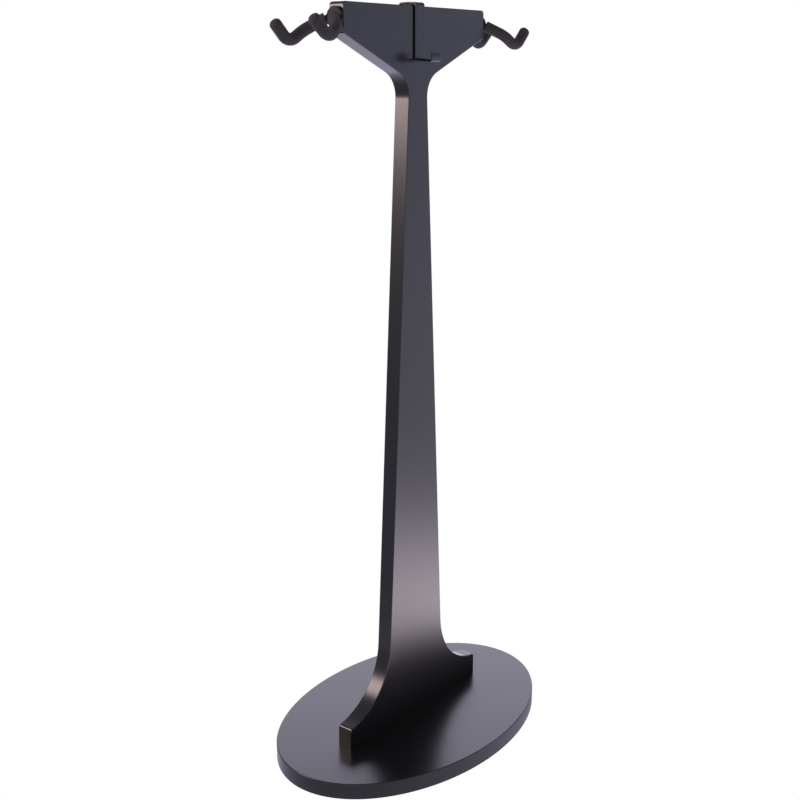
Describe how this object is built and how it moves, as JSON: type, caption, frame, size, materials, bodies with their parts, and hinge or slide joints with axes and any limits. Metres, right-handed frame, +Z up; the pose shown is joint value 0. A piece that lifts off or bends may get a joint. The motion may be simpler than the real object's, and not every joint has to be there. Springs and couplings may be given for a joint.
{
  "type": "display stand",
  "caption": "Tall floor stand: oval base, flat tapered upright, wide head with a padded swivel yoke at each end and a strap hook over its middle.",
  "frame": {"origin": "on the floor, under the middle of the oval base", "axes": "+Z up; +X along the width of the head, towards the right yoke; -Y is the front, the side the strap hook's trough is on"},
  "size_m": [0.514, 0.336, 1.1146],
  "materials": {
    "black_lacquer": "satin black lacquer on board",
    "black_powder_coat": "satin black powder coat",
    "sleeve_rubber": "matt padded sleeve",
    "black_rubber": "matt",
    "zinc_steel": "zinc plated",
    "brass": "machined",
    "beech": "plain",
    "nylon": "black"
  },
  "bodies": {
    "stand": {"base_plate": "black_lacquer", "upright_board": "black_lacquer", "rubber_feet": "black_rubber", "base_bolts": "zinc_steel", "base_washers": "zinc_steel", "foot_inserts": "brass", "foot_dowels": "beech", "left_swivel_housing": "brass", "left_thrust_washer": "nylon", "right_swivel_housing": "brass", "right_thrust_washer": "nylon"},
    "left_yoke": {"left_pivot_stud": "zinc_steel", "left_retaining_ring": "zinc_steel", "left_hub_disc": "black_powder_coat", "left_yoke_rod": "black_powder_coat", "left_front_sleeve": "sleeve_rubber", "left_back_sleeve": "sleeve_rubber"},
    "right_yoke": {"right_pivot_stud": "zinc_steel", "right_retaining_ring": "zinc_steel", "right_hub_disc": "black_powder_coat", "right_yoke_rod": "black_powder_coat", "right_front_sleeve": "sleeve_rubber", "right_back_sleeve": "sleeve_rubber"},
    "strap_hook": {"strap_hook": "black_powder_coat", "strap_pads": "black_rubber"}
  },
  "joints": [
    {"name": "left_yoke_swivel", "type": "hinge", "parent": "stand", "child": "left_yoke", "pos_m": [-0.1592, 0, 1.089], "axis": [-1, 0, 0], "continuous": true},
    {"name": "right_yoke_swivel", "type": "hinge", "parent": "stand", "child": "right_yoke", "pos_m": [0.1592, 0, 1.089], "axis": [1, 0, 0], "continuous": true},
    {"name": "strap_hook_slide", "type": "slide", "parent": "stand", "child": "strap_hook", "axis": [1, 0, 0], "range_m": [-0.135, 0.135]}
  ]
}
